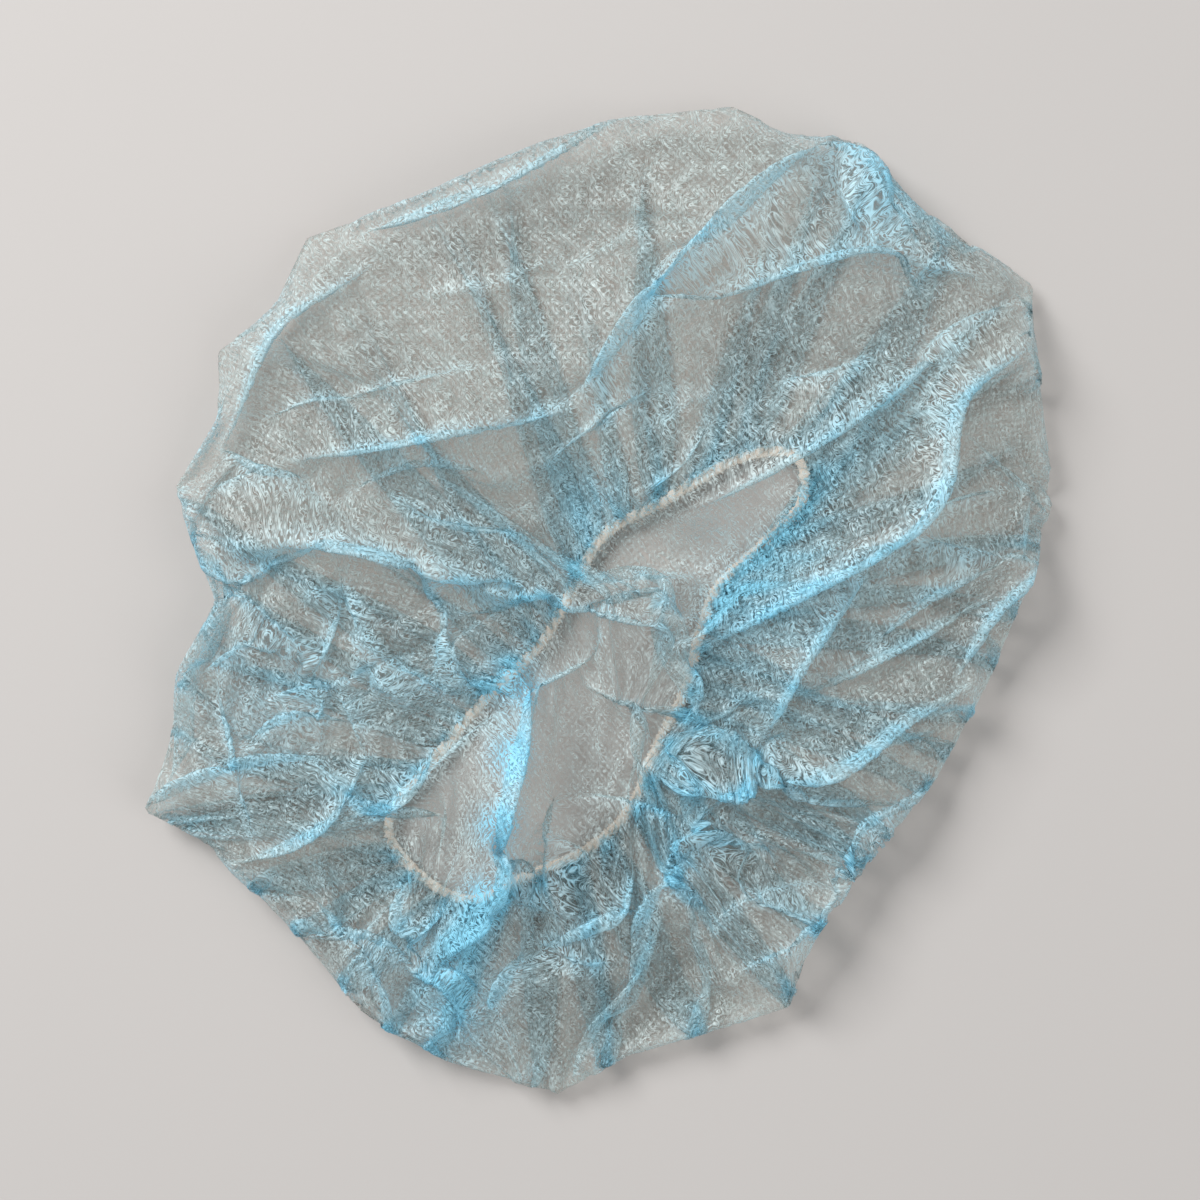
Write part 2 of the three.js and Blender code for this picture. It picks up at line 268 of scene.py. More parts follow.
def mouth_at(line, angle):
    """The point of the mouth that cloth at this angle is gathered to, and the way out of the mouth
    there."""
    count = len(line) - 1
    at = (angle / (2 * np.pi) + MOUTH_TURN) % 1 * count
    low = np.floor(at).astype(int) % count
    share = (at - np.floor(at))[..., None]
    point = line[low] * (1 - share) + line[low + 1] * share
    reach = 12
    along = line[(low + reach) % count] - line[(low - reach) % count]
    along /= np.linalg.norm(along, axis=-1, keepdims=True)
    return point, np.stack([along[..., 1], -along[..., 0]], axis=-1)


def spread_angle(angle):
    """Where round the cap the cloth at each angle of the disc goes: least of it goes to the upper left,
    and most to the lower right."""
    return angle + 0.14 * np.sin(angle - LEAST_CLOTH)


def rim_angle(angle):
    """The same for the rim, which is longer than the outline and so doubles back on itself in flat tucks,
    as many as RIM_TUCKS. They are deepest at the lower right and hardly there at the upper left."""
    spread = spread_angle(angle)
    depth = 1.15 - 0.8 * np.cos(spread - LEAST_CLOTH)
    phase = (
        RIM_TUCKS * spread
        + 3.4 * np.sin(3 * spread + 1)
        + 2.2 * np.sin(7 * spread + 2)
        + 1.2 * np.sin(13 * spread)
    )
    return spread + depth / RIM_TUCKS * np.sin(phase)


def skirt_angle(angle):
    """The same for the skirt, whose cloth doubles back on itself all round the mouth."""
    spread = spread_angle(angle)
    depth = 5 - 2.6 * np.cos(spread - LEAST_CLOTH)
    return spread + depth / SKIRT_TUCKS * np.sin(SKIRT_TUCKS * angle + 2 * np.sin(5 * angle))


def disc_grid(points):
    """A square grid as shares of the disc's radius and angles: each square ring of it becomes a round
    one."""
    side = np.linspace(-1, 1, points)
    x, y = np.meshgrid(side, side, indexing="ij")
    share = np.maximum(abs(x), abs(y))
    quarter = np.pi / 4
    with np.errstate(divide="ignore", invalid="ignore"):
        across = np.where(x > 0, 0, np.pi) + quarter * y / x
        up = np.where(y > 0, np.pi / 2, 1.5 * np.pi) - quarter * x / y
    angle = np.where(abs(x) >= abs(y), across, up)
    return share, np.where(share == 0, 0, angle)


# ------------------------------------------------ draping


def all_folds():
    """FOLDS and, from a fixed seed, the creases, whose lines bend at the middle by up to a fifth of their
    length."""
    generator = np.random.default_rng(SEED + 2)
    made = [dict(zip(FOLD_FIELDS, row)) for row in FOLDS]
    for fold in made:
        fold["line"] = np.array(fold["line"], float)
    for row in CREASES:
        patch = dict(zip(CREASE_FIELDS, row))
        for _ in range(patch["count"]):
            turn = math.radians(generator.uniform(*patch["turn"]))
            middle = np.array(patch["middle"]) + generator.uniform(-1, 1, 2) * patch["half"]
            half = generator.uniform(*patch["length"]) / 2
            way = np.array([math.cos(turn), math.sin(turn)])
            bow = generator.uniform(-0.4, 0.4) * half * np.array([-way[1], way[0]])
            line = np.array([middle - way * half, middle + bow, middle + way * half])
            take, lean = generator.uniform(*patch["take"]), generator.choice([-1, 1])
            made.append({"line": line, "height": CREASE_HEIGHT, "take": take, "lean": lean})
    return made


def bank_height(fold, along):
    """The height of a fold's bank, in mm, at a share along its line: it rises from BANK_BASE by a sine
    that is highest half way and has a little over half of that at the ends."""
    return BANK_BASE + BANK_RISE * fold["height"] * (0.55 + 0.45 * np.sin(np.pi * along))


def fold_map():
    """The least height of the crown, on a grid of MAP_CELL: over each fold's line a narrow bank, which is
    highest at the middle of the fold and falls to each side by a square law."""
    side = np.arange(-MAP_HALF, MAP_HALF + MAP_CELL, MAP_CELL)
    x, y = np.meshgrid(side, side, indexing="ij")
    at = np.stack([x, y], axis=-1)
    heights = np.zeros(x.shape)
    for fold in all_folds():
        line = fold["line"]
        lengths = np.linalg.norm(np.diff(line, axis=0), axis=1)
        starts = np.concatenate([[0], np.cumsum(lengths)])
        for k, length in enumerate(lengths):
            step = line[k + 1] - line[k]
            foot = np.clip(((at - line[k]) @ step) / length**2, 0, 1)
            away = np.linalg.norm(at - line[k] - foot[..., None] * step, axis=-1)
            top = bank_height(fold, (starts[k] + foot * length) / starts[-1])
            bank = np.where(away < FOLD_FOOT, top * (1 - 0.35 * (away / FOLD_FOOT) ** 2), 0)
            heights = np.maximum(heights, bank)
    return heights


def map_index(points, size):
    """The rows and columns of the height maps that points lie over."""
    cells = np.round((points[..., :2] + MAP_HALF) / MAP_CELL).astype(int)
    return tuple(np.clip(cells, 0, size - 1).reshape(-1, 2).T)


def ties(flat):
    """The cloth's ties: pairs of grid slices, their flat distance and whether they hold its bend. In each
    pair no point is named twice, so that numpy may move them all at once."""
    points = len(flat)
    every, low, high = slice(None), slice(0, points - 1), slice(1, points)
    pairs = []
    for start in (0, 1):
        count = (points - start) // 2
        a, b = slice(start, start + 2 * count - 1, 2), slice(start + 1, start + 2 * count, 2)
        pairs += [((a, every), (b, every), False), ((every, a), (every, b), False)]
        pairs += [((a, low), (b, high), False), ((a, high), (b, low), False)]
    for start in range(4):
        first = np.arange(start, points - 2, 4)
        a, b = slice(first[0], first[-1] + 1, 4), slice(first[0] + 2, first[-1] + 3, 4)
        pairs += [((a, every), (b, every), True), ((every, a), (every, b), True)]
    return [(a, b, np.linalg.norm(flat[a] - flat[b], axis=-1), bend) for a, b, bend in pairs]


def pull(place, tie, stretch, press):
    """Moves both ends of each tie along it towards its flat length: by stretch of the error where it is
    too long, and press where it is too short."""
    a, b, length, _ = tie
    first, second = place[a], place[b]
    step = second - first
    now = np.sqrt(np.einsum("ijk,ijk->ij", step, step)) + 1e-9
    share = 0.5 * (1 - length / now)
    share *= np.where(share > 0, stretch, press)
    step *= share[..., None]
    first += step
    second -= step


def crinkles(points, cells, generator):
    """Smooth random heights: a grid of cells random numbers, eased from one to the next."""
    grid = generator.standard_normal((cells + 3, cells + 3))
    at = np.linspace(0, cells, points)
    low = np.floor(at).astype(int)
    share = at - low
    share = share * share * (3 - 2 * share)
    rows = grid[low] * (1 - share)[:, None] + grid[low + 1] * share[:, None]
    return rows[:, low] * (1 - share) + rows[:, low + 1] * share


def finer(place, points):
    """The same surface on a grid with more points, by cubic curves along its rows and then its
    columns."""

    def along(rows):
        last = len(rows) - 1
        at = np.linspace(0, last, points)
        low = np.clip(np.floor(at).astype(int), 0, last - 1)
        t = (at - low)[:, None, None]
        before, here, there, after = (rows[np.clip(low + k, 0, last)] for k in (-1, 0, 1, 2))
        line = (there - before) * t
        bend = (2 * before - 5 * here + 4 * there - after) * t * t
        twist = (3 * here - before - 3 * there + after) * t**3
        return here + 0.5 * (line + bend + twist)

    return along(along(place).transpose(1, 0, 2)).transpose(1, 0, 2).copy()


def drape(radius, gathers, hem_height):
    """The draped cloth, as a square grid of points in mm, with the disc's shares and angles, and how folded
    each point is.

    It starts as a bag: straight lines run from the disc's middle out to the outline, and back in
    underneath to the mouth. Each step then moves every point as it was moving, sinks it, and pulls each
    tie towards its flat length, with the edge held in gathers on the elastic, the rim drawn to the
    outline, and the crown kept over the folds' banks and the skirt."""
    generator = np.random.default_rng(SEED)
    reach = outline_reach()
    line = mouth_line()
    banks = fold_map()
    centre = np.array(CLOTH_CENTRE, float)
    place, folded = None, None
    for stage in PASSES:
        share, angle = disc_grid(stage["points"])
        round_rim = rim_angle(angle)
        rim = np.stack([np.cos(round_rim), np.sin(round_rim)], axis=-1) * reach(round_rim)[..., None]
        point, out = mouth_at(line, spread_angle(angle))
        tucked, tucked_out = mouth_at(line, skirt_angle(angle))
        hem = tucked + tucked_out * HEM_OUT
        over = np.linalg.norm(rim - centre, axis=-1)
        under = np.linalg.norm(rim - hem, axis=-1)
        turn = (over + CROWN_SHARE * (radius - over - under)) / radius
        if place is None:
            crown = np.clip(share / turn, 0, 1)[..., None]
            skirt = np.clip((share - turn) / (1 - turn), 0, 1)[..., None]
            top, bottom = centre + (rim - centre) * crown, rim + (hem - rim) * skirt
            flat = np.where(share[..., None] <= turn[..., None], top, bottom)
            dome = 5 + 14 * np.sqrt(1 - crown[..., 0] ** 3)
            height = np.where(share <= turn, dome, 5 * (1 - skirt[..., 0]) ** 2 + 1.5)
            place = np.concatenate([flat, height[..., None]], axis=-1)
        else:
            place = finer(place, stage["points"])
        uneven = crinkles(stage["points"], stage["cells"], generator)
        place[..., 2] += stage["crinkle"] * uneven * (share < turn)
        wave = gathers * angle
        gathered = point + out * (HEM_OUT + HEM_IN_AND_OUT * np.cos(wave))[..., None]
        edge = np.concatenate([gathered, (hem_height + HEM_UP_AND_DOWN * np.sin(wave))[..., None]], axis=-1)
        if stage["pinch"] and folded is None:
            folded = flat_fold_lines(place, share, angle, turn, radius)
        pleats = pleat_targets(folded, share, angle, turn, radius) if stage["pinch"] else None
        settle(place, share, angle, turn, rim, edge, reach, banks, radius, stage, pleats)
    smooth = np.clip((turn - CROWN_MARGIN - share) / (2 * CROWN_MARGIN), 0, 1) * (1 - 0.8 * pleats[2])
    place += (evened(place) - place) * smooth[..., None]
    return place, share, angle, pleats[2]


def evened(place):
    """Each point of a grid moved towards its neighbours' mean, along the rows and then the columns."""
    for _ in range(2):
        padded = np.concatenate([place[:1], place, place[-1:]])
        place = ((padded[:-2] + 2 * padded[1:-1] + padded[2:]) / 4).transpose(1, 0, 2)
    return place


def flat_cloth(share, angle, radius):
    """The grid's points on the flat disc, in mm."""
    return np.stack([np.cos(angle), np.sin(angle)], axis=-1) * (share * radius)[..., None]


def flat_fold_lines(place, share, angle, turn, radius):
    """Each fold's line as points every few mm over the floor, and the points of the flat disc that lie
    there: for each one the crown's nearest grid point, evened out along the line."""
    crown = share < turn
    above = place[crown][:, :2]
    flat = flat_cloth(share, angle, radius)[crown]
    lines = []
    for fold in all_folds():
        line = fold["line"]
        length = np.linalg.norm(np.diff(line, axis=0), axis=1).sum()
        line = round_line(line, closed=False, count=max(4, round(length / 4)))
        nearest = [np.argmin(((above - point) ** 2).sum(1)) for point in line]
        over = flat[nearest]
        for _ in range(6):
            over[1:-1] = (over[:-2] + 2 * over[1:-1] + over[2:]) / 4
        lines.append((fold, line, over))
    return lines


def pleat_targets(folded, share, angle, turn, radius):
    """Where the crown's cloth goes in the folds: which points, their places, and how folded every point
    is, from 0 to 1.

    The cloth within take of a fold's line on the flat disc stands up from the line and doubles back, so
    that a point u from the line lies take - u up a slope of FOLD_PITCH. Take falls nearly to nothing at
    the fold's ends, by the square root of the sine of the share along it."""
    flat = flat_cloth(share, angle, radius)
    goal = np.zeros(share.shape + (3,))
    nearest = np.full(share.shape, np.inf)
    weight = np.zeros(share.shape)
    for fold, line, over in folded:
        count = len(line) - 1
        side = np.array([-1.0, 1.0]) * fold["lean"]
        for k in range(count):
            step = over[k + 1] - over[k]
            length = np.linalg.norm(step) + 1e-9
            foot = np.clip(((flat - over[k]) @ step) / length**2, 0, 1)
            away = np.linalg.norm(flat - over[k] - foot[..., None] * step, axis=-1)
            along = (k + foot) / count
            take = fold["take"] * np.sin(np.pi * np.clip(along, 0.01, 0.99)) ** 0.5
            inside = (away < take) & (away < nearest) & (share < turn - CROWN_MARGIN)
            nearest[inside] = away[inside]
            inner = np.clip(3 * (1 - away[inside] / take[inside]), 0, 1)
            weight[inside] = inner * np.clip(take[inside] / FULL_TAKE, 0, 1)
            way = line[k + 1] - line[k]
            across = way[::-1] / np.linalg.norm(way) * side
            up = (take - away)[inside]
            base = line[k] + foot[inside][:, None] * way
            goal[inside, :2] = base + across * (up * np.cos(FOLD_PITCH))[:, None]
            offset = (flat - over[k])[inside]
            leaf = np.sign(offset[:, 0] * step[1] - offset[:, 1] * step[0])
            goal[inside, 2] = bank_height(fold, along[inside]) + up * np.sin(FOLD_PITCH) + leaf * LEAF_GAP
    inside = np.isfinite(nearest)
    return inside, goal[inside], weight


def settle(place, share, angle, turn, rim, edge, reach, banks, radius, stage, pleats):
    """Runs one pass of the draping on place itself."""
    flat = flat_cloth(share, angle, radius)
    tied = ties(flat)
    at_edge = share > 1 - 1e-9
    in_crown = share < turn - 0.004
    at_rim = np.abs(share - turn) < 1.2 / (stage["points"] - 1)
    before = place.copy()
    floor = banks
    for step in range(stage["steps"]):
        moving = np.clip((place - before) * KEEP_MOVING, -LONGEST_MOVE, LONGEST_MOVE)
        before = place.copy()
        place += moving
        place[..., 2] -= stage["sink"]
        for _ in range(stage["sweeps"]):
            for tie in tied:
                if tie[3]:
                    pull(place, tie, 0, BEND)
                else:
                    pull(place, tie, 1, PRESS)
            if pleats is not None:
                place[pleats[0]] += (pleats[1] - place[pleats[0]]) * stage["pinch"]
            place[at_edge] = edge[at_edge]
            flat_place = place[..., :2]
            flat_place[at_rim] += (rim[at_rim] - flat_place[at_rim]) * RIM_HOLD
        out_at = np.arctan2(place[..., 1], place[..., 0])
        limit, now = reach(out_at), np.hypot(place[..., 0], place[..., 1])
        place[..., :2] *= np.minimum(1, limit / np.maximum(now, 1e-6))[..., None]
        if step % 4 == 0:
            under = np.zeros_like(banks)
            low = place[~in_crown]
            np.maximum.at(under, map_index(low, len(banks)), low[:, 2])
            shifts = [np.roll(under, by, axis) for by in (1, -1) for axis in (0, 1)]
            floor = np.maximum(banks, np.maximum.reduce([under, *shifts]) + LAYER_GAP)
        least = np.where(in_crown, floor[map_index(place, len(banks))].reshape(share.shape), FLOOR_GAP)
        height = place[..., 2]
        lift = np.maximum(least - height, 0)
        height += lift * np.where(lift > RISE_LIMIT, SLOW_LIFT, QUICK_LIFT)
        np.clip(height, FLOOR_GAP, np.where(in_crown, CROWN_TOP, SKIRT_TOP), out=height)


# ------------------------------------------------ meshes and nodes


def unit_normals(place):
    """The surface's unit normals on a grid: the cross product of its two slopes."""
    across = np.cross(np.gradient(place, axis=0), np.gradient(place, axis=1))
    return across / (np.linalg.norm(across, axis=-1, keepdims=True) + 1e-12)


def blurred(grid, times):
    """A map with each cell averaged with its neighbours, times over."""
    for _ in range(times):
        for axis in (0, 1):
            grid = (np.roll(grid, 1, axis) + 2 * grid + np.roll(grid, -1, axis)) / 4
    return grid


def layers_over(place):
    """How many thicknesses of cloth lie over each place on the floor: the grid's own cells, each with its
    real area, are added up on a map of MAP_CELL, which is then blurred and read back at each point."""
    fine = finer(place, 2 * len(place))
    area = np.linalg.norm(np.cross(np.gradient(fine, axis=0), np.gradient(fine, axis=1)), axis=-1)
    size = int(2 * MAP_HALF / MAP_CELL) + 1
    total = np.zeros((size, size))
    np.add.at(total, map_index(fine, size), area.ravel() / MAP_CELL**2)
    return blurred(total, 1)[map_index(place, size)].reshape(place.shape[:2])


def bunched(place):
    """How bunched the cloth is at each point, up to BUNCH_MOST: the sum of a bell round each patch's
    middle."""
    total = np.zeros(place.shape[:2])
    for _, middle, half, density in BUNCHES:
        away = np.linalg.norm(place[..., :2] - middle, axis=-1)
        total += density * np.exp(-((away / half) ** 2))
    return np.minimum(total, BUNCH_MOST)


def grid_mesh(name, place, flat_uv):
    """A mesh of a square grid of points in mm, each square split along the diagonal that points to the
    middle."""
    points = len(place)
    index = np.arange(points * points).reshape(points, points)
    a, b, c, d = (index[:-1, :-1], index[1:, :-1], index[1:, 1:], index[:-1, 1:])
    side = np.arange(points - 1) - (points - 2) / 2
    same = np.multiply.outer(side, side) >= 0
    one = np.where(same[..., None], np.stack([a, b, c], -1), np.stack([a, b, d], -1))
    two = np.where(same[..., None], np.stack([a, c, d], -1), np.stack([b, c, d], -1))
    faces = np.concatenate([one.reshape(-1, 3), two.reshape(-1, 3)])
    mesh = bpy.data.meshes.new(name)
    mesh.from_pydata((place * MM).reshape(-1, 3).tolist(), [], faces.tolist())
    layer = mesh.uv_layers.new(name="flat cloth")
    layer.data.foreach_set("uv", flat_uv.reshape(-1, 2)[faces.ravel()].astype(np.float32).ravel())
    mesh.polygons.foreach_set("use_smooth", np.ones(len(faces), bool))
    mesh.update()
    return mesh


def elastic_mesh(width, height):
    """A tube round the mouth, with loose fibres: an oval section is carried along the mouth's line and
    swollen at random, and each fibre is a strip of two quads that starts on the tube and bends at its
    middle."""
    line = mouth_line()
    steps, sides, fibres = 900, 10, 2600
    generator = np.random.default_rng(SEED + 1)
    point, out = mouth_at(line, np.linspace(0, 2 * np.pi, steps, endpoint=False))
    swell = 1 + 0.15 * generator.standard_normal((steps, 1))
    turn = np.linspace(0, 2 * np.pi, sides, endpoint=False)
    tube = np.empty((steps, sides, 3))
    outward = ELASTIC_OUT + np.cos(turn) * width / 2 * swell
    tube[..., :2] = point[:, None] + out[:, None] * outward[..., None]
    tube[..., 2] = height + np.sin(turn) * ELASTIC_HALF_THICKNESS * swell
    index = np.arange(steps * sides).reshape(steps, sides)
    a, b = index, np.roll(index, -1, axis=0)
    round_it = np.stack([a, b, np.roll(b, -1, axis=1), np.roll(a, -1, axis=1)], axis=-1).reshape(-1, 4)
    root = tube[generator.integers(0, steps, fibres), generator.integers(0, sides, fibres)]
    way = generator.standard_normal((fibres, 3)) * (1, 1, 0.5)
    way /= np.linalg.norm(way, axis=1, keepdims=True)
    bend = generator.standard_normal((fibres, 3)) * (0.4, 0.4, 0.1)
    length = generator.uniform(0.6, 2.4, (fibres, 1))
    thin = np.cross(way, (0, 0, 1)) * 0.07
    spine = [root, root + way * length / 2, root + way * length + bend * length]
    tapered = zip(spine, (1, 0.8, 0.3))
    strip = np.stack([place + side * thin * share for place, share in tapered for side in (-1, 1)], axis=1)
    strip[..., 2] = np.maximum(strip[..., 2], FLOOR_GAP)
    first = tube.size // 3 + np.arange(fibres)[:, None] * 6
    strips = np.concatenate([first + (0, 1, 3, 2), first + (2, 3, 5, 4)])
    place = np.concatenate([tube.reshape(-1, 3), strip.reshape(-1, 3)])
    faces = np.concatenate([round_it, strips])
    mesh = bpy.data.meshes.new("elastic")
    mesh.from_pydata((place * MM).tolist(), [], faces.tolist())
    mesh.polygons.foreach_set("use_smooth", np.ones(len(faces), bool))
    mesh.update()
    return mesh


def add_attribute(mesh, name, values):
    """Gives the mesh one number at each point."""
    attribute = mesh.attributes.new(name, "FLOAT", "POINT")
    attribute.data.foreach_set("value", values.astype(np.float32).ravel())


def add_object(name, mesh, material):
    """Links a new object for the mesh, at the origin, with one material."""
    piece = bpy.data.objects.new(name, mesh)
    bpy.context.scene.collection.objects.link(piece)
    mesh.materials.append(material)
    return piece


def node(tree, kind, settings=None, **inputs):
    """Adds a shader node: settings are its own fields, and each input is a value or another node's
    output. An input's name is its label in lower case with _ for spaces, or in_N for the input at N."""
    made = tree.nodes.new("ShaderNode" + kind)
    for key, value in (settings or {}).items():
        setattr(made, key, value)
    names = {socket.name.lower().replace(" ", "_"): socket for socket in reversed(made.inputs)}
    for key, value in inputs.items():
        socket = made.inputs[int(key[3:])] if key.startswith("in_") else names[key]
        if isinstance(value, bpy.types.NodeSocket):
            tree.links.new(value, socket)
        else:
            socket.default_value = value
    return made


def math_node(tree, operation, first, second=0.0, third=0.0, clamp=False):
    """The value of a sum of one kind on up to three numbers or outputs."""
    settings = {"operation": operation, "use_clamp": clamp}
    return node(tree, "Math", settings, in_0=first, in_1=second, in_2=third).outputs[0]


def new_material(name):
    """An empty material, with its tree."""
    material = bpy.data.materials.new(name)
    material.use_nodes = True
    tree = material.node_tree
    tree.nodes.clear()
    return material, tree


def smooth_noise(tree, place, scale):
    """A flat noise without finer detail."""
    flat = {"noise_dimensions": "2D"}
    return node(tree, "TexNoise", flat, vector=place, scale=scale, detail=0.0, distortion=0.0).outputs[0]


def fibre_web(tree, flat_mm, angle, stretch, pitch, width, seed):
    """Fine fibres that run mostly one way: the thin lines where a noise drawn out along them is near its
    middle."""
    turned = node(
        tree,
        "Mapping",
        {"vector_type": "POINT"},
        vector=flat_mm,
        location=(seed, 2.3 * seed, 0),
        rotation=(0, 0, angle),
        scale=(1 / pitch, 1 / (pitch * stretch), 1),
    )
    noise = smooth_noise(tree, turned.outputs[0], 1.0)
    off = math_node(tree, "ABSOLUTE", math_node(tree, "SUBTRACT", noise, 0.5))
    return math_node(tree, "SUBTRACT", 1.0, math_node(tree, "DIVIDE", off, width), clamp=True)


def nonwoven_material(colours, cut_width):
    """Spunbond polypropylene: a random web of fine filaments, thermally bonded at a grid of points. It is
    mostly holes, so it is sheer flat on, and closes up where it is gathered or stands on edge. The
    filaments are drawn coarser than the real ones, which would be too fine to show. cut_width is the
    disc's, in mm."""
    material, tree = new_material("spunbond nonwoven polypropylene")
    uv = node(tree, "UVMap", {"uv_map": "flat cloth"})
    flat_mm = node(tree, "Mapping", {}, vector=uv.outputs[0], scale=(cut_width,) * 3).outputs[0]
    slant = node(tree, "Attribute", {"attribute_name": "slant"}).outputs["Fac"]
    layers = node(tree, "Attribute", {"attribute_name": "layers"}).outputs["Fac"]
    cloud = smooth_noise(tree, flat_mm, 0.25)
    multiply_add = {"operation": "MULTIPLY_ADD"}
    curled = node(tree, "VectorMath", multiply_add, in_0=cloud, in_1=(7, -9, 0), in_2=flat_mm).outputs[0]
    first = fibre_web(tree, curled, 0.3, 5, 0.75, 0.08, 3.1)
    second = fibre_web(tree, curled, 1.75, 5, 0.68, 0.08, 7.7)
    web = math_node(tree, "MAXIMUM", first, second)
    split = node(tree, "SeparateXYZ", {}, vector=flat_mm)
    turns = [math_node(tree, "MULTIPLY", split.outputs[k], 2 * math.pi / BOND_PITCH) for k in (0, 1)]
    waves = [math_node(tree, "SINE", turn) for turn in turns]
    dots = math_node(tree, "MULTIPLY", waves[0], waves[1])
    dots = math_node(tree, "MULTIPLY", math_node(tree, "SUBTRACT", dots, 0.3), 2.2, clamp=True)
    solid = math_node(tree, "MULTIPLY_ADD", web, 0.52, 0.02)
    solid = math_node(tree, "MULTIPLY_ADD", dots, 0.24, solid)
    solid = math_node(tree, "MULTIPLY", solid, math_node(tree, "MULTIPLY_ADD", cloud, 1.2, 0.3))
    holes = math_node(tree, "SUBTRACT", 1.0, solid, clamp=True)
    alpha = math_node(tree, "SUBTRACT", 1.0, math_node(tree, "POWER", holes, slant), clamp=True)
    deep = node(tree, "MapRange", {"clamp": True}, value=layers, from_min=2.2, from_max=13.0)
    thin, dense = linear(colours.thin_cloth), linear(colours.dense_cloth)
    colour = node(tree, "Mix", {"data_type": "RGBA"}, in_0=deep.outputs[0], in_6=thin, in_7=dense)
    surface = node(tree, "BsdfPrincipled", {}, base_color=colour.outputs[2], roughness=0.45, ior=1.49)
    through = node(tree, "BsdfTranslucent", {}, color=colour.outputs[2])
    cloth = node(tree, "MixShader", {}, in_0=0.25, in_1=surface.outputs[0], in_2=through.outputs[0])
    # Painted shade: the holes between the fibres are greyed to pass only about nine tenths of the light,
    # though the real holes are open, so the floor seen through the cloth and the cloth's shadow on it come
    # out darker.
    clear = node(tree, "BsdfTransparent", {}, color=(0.90, 0.885, 0.87, 1))
    sheer = node(tree, "MixShader", {}, in_0=alpha, in_1=clear.outputs[0], in_2=cloth.outputs[0])
    node(tree, "OutputMaterial", {}, surface=sheer.outputs[0])
    return material


def elastic_material(colour):
    """Covered elastic: cream yarn wound on rubber, matt and fuzzy."""
    material, tree = new_material("cream covered elastic")
    coordinates = node(tree, "TexCoord", {})
    noise = node(tree, "TexNoise", {}, vector=coordinates.outputs["Object"], scale=900.0, detail=3.0)
    bump = node(tree, "Bump", {}, strength=0.6, distance=0.0003, height=noise.outputs[0])
    yarn = linear(colour)
    surface = node(tree, "BsdfPrincipled", {}, base_color=yarn, roughness=0.9, normal=bump.outputs[0])
    node(tree, "OutputMaterial", {}, surface=surface.outputs[0])
    return material


def floor_material(colour):
    """A plain painted board, matt, so that it takes soft shadows without a gleam."""
    material, tree = new_material("matt painted board")
    surface = node(tree, "BsdfPrincipled", {}, base_color=linear(colour), roughness=0.9)
    node(tree, "OutputMaterial", {}, surface=surface.outputs[0])
    return material


# ------------------------------------------------ the add-on


class HairnetSizes(PropertyGroup):
    """Sizes of the flat cloth and the elastic, before the cap is gathered."""

    cut_radius: FloatProperty(
        name="Cut radius", description="Radius of the cut disc", default=0.265,
        subtype="DISTANCE", unit="LENGTH",
    )
    gathers: IntProperty(
        name="Gathers", description="Small pleats round the elastic", default=150, min=20, max=300
    )
    elastic_width: FloatProperty(
        name="Elastic width", description="Width of the elastic", default=0.003,
        subtype="DISTANCE", unit="LENGTH",
    )
    hem_height: FloatProperty(
        name="Hem height", description="Height of its middle", default=0.003,
        subtype="DISTANCE", unit="LENGTH",
    )


class HairnetColours(PropertyGroup):
    """Colours as sRGB hex."""

    thin_cloth: StringProperty(name="Thin cloth", description="One layer of cloth", default="#CBDAD9")
    dense_cloth: StringProperty(name="Dense cloth", description="Many layers of cloth", default="#8FD7F1")
    elastic: StringProperty(name="Elastic", description="The elastic's yarn", default="#DBD0C4")
    floor: StringProperty(name="Floor", description="The floor", default="#B2AEAB")


class HAIRNET_OT_cloth(Operator):
    """Drapes the cap's cloth and gives it its finish"""

    bl_idname = "hairnet.make_cloth"
    bl_label = "Make the Cloth"

    def execute(self, context):
        sizes = context.scene.hairnet_sizes
        radius = sizes.cut_radius / MM
        place, share, angle, folded = drape(radius, sizes.gathers, sizes.hem_height / MM)
        flat = np.stack([np.cos(angle), np.sin(angle)], axis=-1) * share[..., None]
        if not np.isfinite(place).all():
            raise RuntimeError("the draped cloth has points without a place")
        mesh = grid_mesh("cap", place, flat / 2 + 0.5)
        bunch = bunched(place)
        upward = np.maximum(np.abs(unit_normals(place)[..., 2]), SLANT_FLOOR)
        denser = 1 + FOLDED_SLANT * folded + BUNCHED_SLANT * bunch
        add_attribute(mesh, "slant", np.clip(1 / upward, 1, SLANT_MOST) * denser)
        add_attribute(mesh, "layers", layers_over(place) + FOLDED_LAYERS * folded + BUNCHED_LAYERS * bunch)
        cap = add_object("cap", mesh, nonwoven_material(context.scene.hairnet_colours, 2 * radius))
        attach(cap, "root")
        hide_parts("cap_cloth")
        return {"FINISHED"}


class HAIRNET_OT_elastic(Operator):
    """Lays the slack elastic round the mouth"""

    bl_idname = "hairnet.make_elastic"
    bl_label = "Make the Elastic"

    def execute(self, context):
        sizes = context.scene.hairnet_sizes
        mesh = elastic_mesh(sizes.elastic_width / MM, sizes.hem_height / MM + ELASTIC_OVER_HEM)
        band = add_object("elastic", mesh, elastic_material(context.scene.hairnet_colours.elastic))
        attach(band, "root")
        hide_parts("elastic_band")
        return {"FINISHED"}


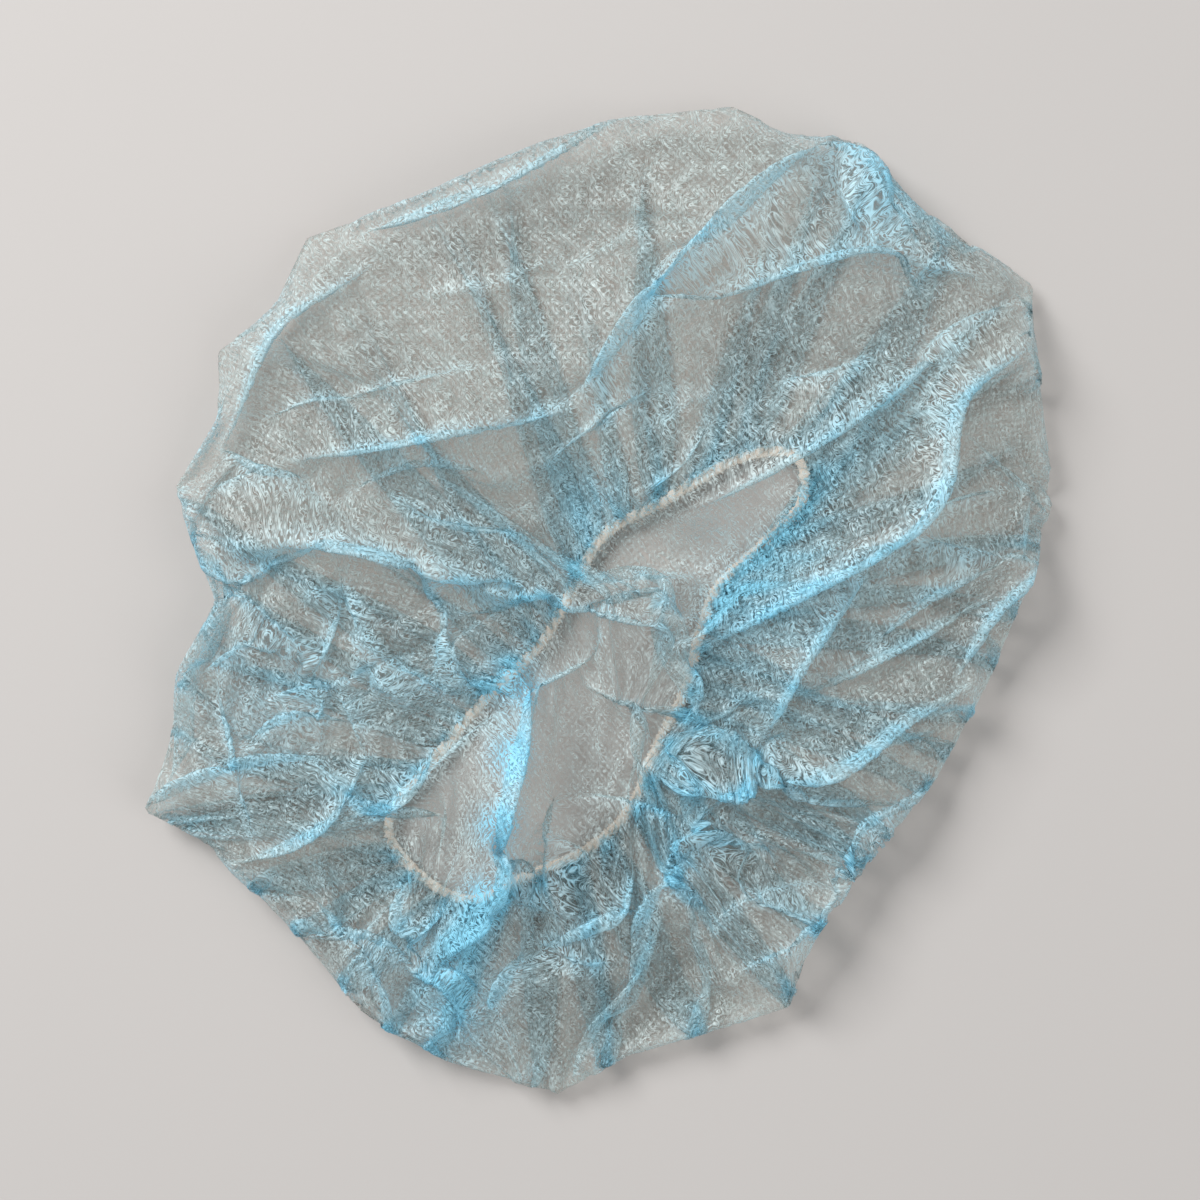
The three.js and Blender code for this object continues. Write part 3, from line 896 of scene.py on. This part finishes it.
class HAIRNET_OT_stage(Operator):
    """Sets the pale floor, the soft lights and the camera straight above"""

    bl_idname = "hairnet.make_stage"
    bl_label = "Make the Stage"

    def execute(self, context):
        scene = context.scene
        mesh = bpy.data.meshes.new("floor")
        corners = [(-1, -1), (1, -1), (1, 1), (-1, 1)]
        mesh.from_pydata([(x * FLOOR_HALF, y * FLOOR_HALF, 0) for x, y in corners], [], [(0, 1, 2, 3)])
        floor = add_object("floor", mesh, floor_material(scene.hairnet_colours.floor))
        floor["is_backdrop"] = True
        for name, place, size, power in (
            ("key", (-1.1, 1.0, 1.3), 0.9, 46),
            ("fill", (1.2, -0.6, 1.3), 1.4, 12),
        ):
            lamp = bpy.data.lights.new(name, "AREA")
            lamp.size, lamp.energy = size, power
            light = bpy.data.objects.new(name, lamp)
            light.location = place
            light.rotation_euler = (-light.location).to_track_quat("-Z", "Y").to_euler()
            scene.collection.objects.link(light)
        world = bpy.data.worlds.new("soft room")
        world.use_nodes = True
        back = world.node_tree.nodes["Background"]
        back.inputs["Color"].default_value = linear("#F4F6F8")
        back.inputs["Strength"].default_value = 0.52
        world.cycles.sampling_method = "NONE"
        scene.world = world
        lens = bpy.data.cameras.new("camera")
        lens.lens = 70
        view = bpy.data.objects.new("camera", lens)
        view.location = (0, 0, FRAME_WIDTH * lens.lens / lens.sensor_width)
        scene.collection.objects.link(view)
        scene.camera = view
        scene.cycles.transparent_max_bounces = 18
        scene.cycles.max_bounces = 2
        scene.cycles.diffuse_bounces = 2
        scene.cycles.transmission_bounces = 2
        scene.view_settings.view_transform = "Standard"
        return {"FINISHED"}


class HAIRNET_PT_panel(Panel):
    """The hairnet's settings and steps"""

    bl_idname = "HAIRNET_PT_panel"
    bl_label = "Hairnet"
    bl_space_type = "VIEW_3D"
    bl_region_type = "UI"
    bl_category = "Hairnet"

    def draw(self, context):
        for group in (context.scene.hairnet_sizes, context.scene.hairnet_colours):
            for field in group.bl_rna.properties.keys():
                if field not in ("rna_type", "name"):
                    self.layout.prop(group, field)
        for step in STEPS:
            self.layout.operator(step.bl_idname)


STEPS = (HAIRNET_OT_cloth, HAIRNET_OT_elastic, HAIRNET_OT_stage)
CLASSES = (HairnetSizes, HairnetColours, *STEPS, HAIRNET_PT_panel)


def register():
    for made in CLASSES:
        bpy.utils.register_class(made)
    bpy.types.Scene.hairnet_sizes = PointerProperty(type=HairnetSizes)
    bpy.types.Scene.hairnet_colours = PointerProperty(type=HairnetColours)


def unregister():
    del bpy.types.Scene.hairnet_sizes
    del bpy.types.Scene.hairnet_colours
    for made in reversed(CLASSES):
        bpy.utils.unregister_class(made)


def main():
    register()
    bpy.ops.hairnet.make_cloth()
    bpy.ops.hairnet.make_elastic()
    bpy.ops.hairnet.make_stage()
    boxes = {"cad": CAD_BOX, "visual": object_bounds()}
    boxes = {name: [list(corner) for corner in box] for name, box in boxes.items()}


if __name__ == "__main__":
    main()
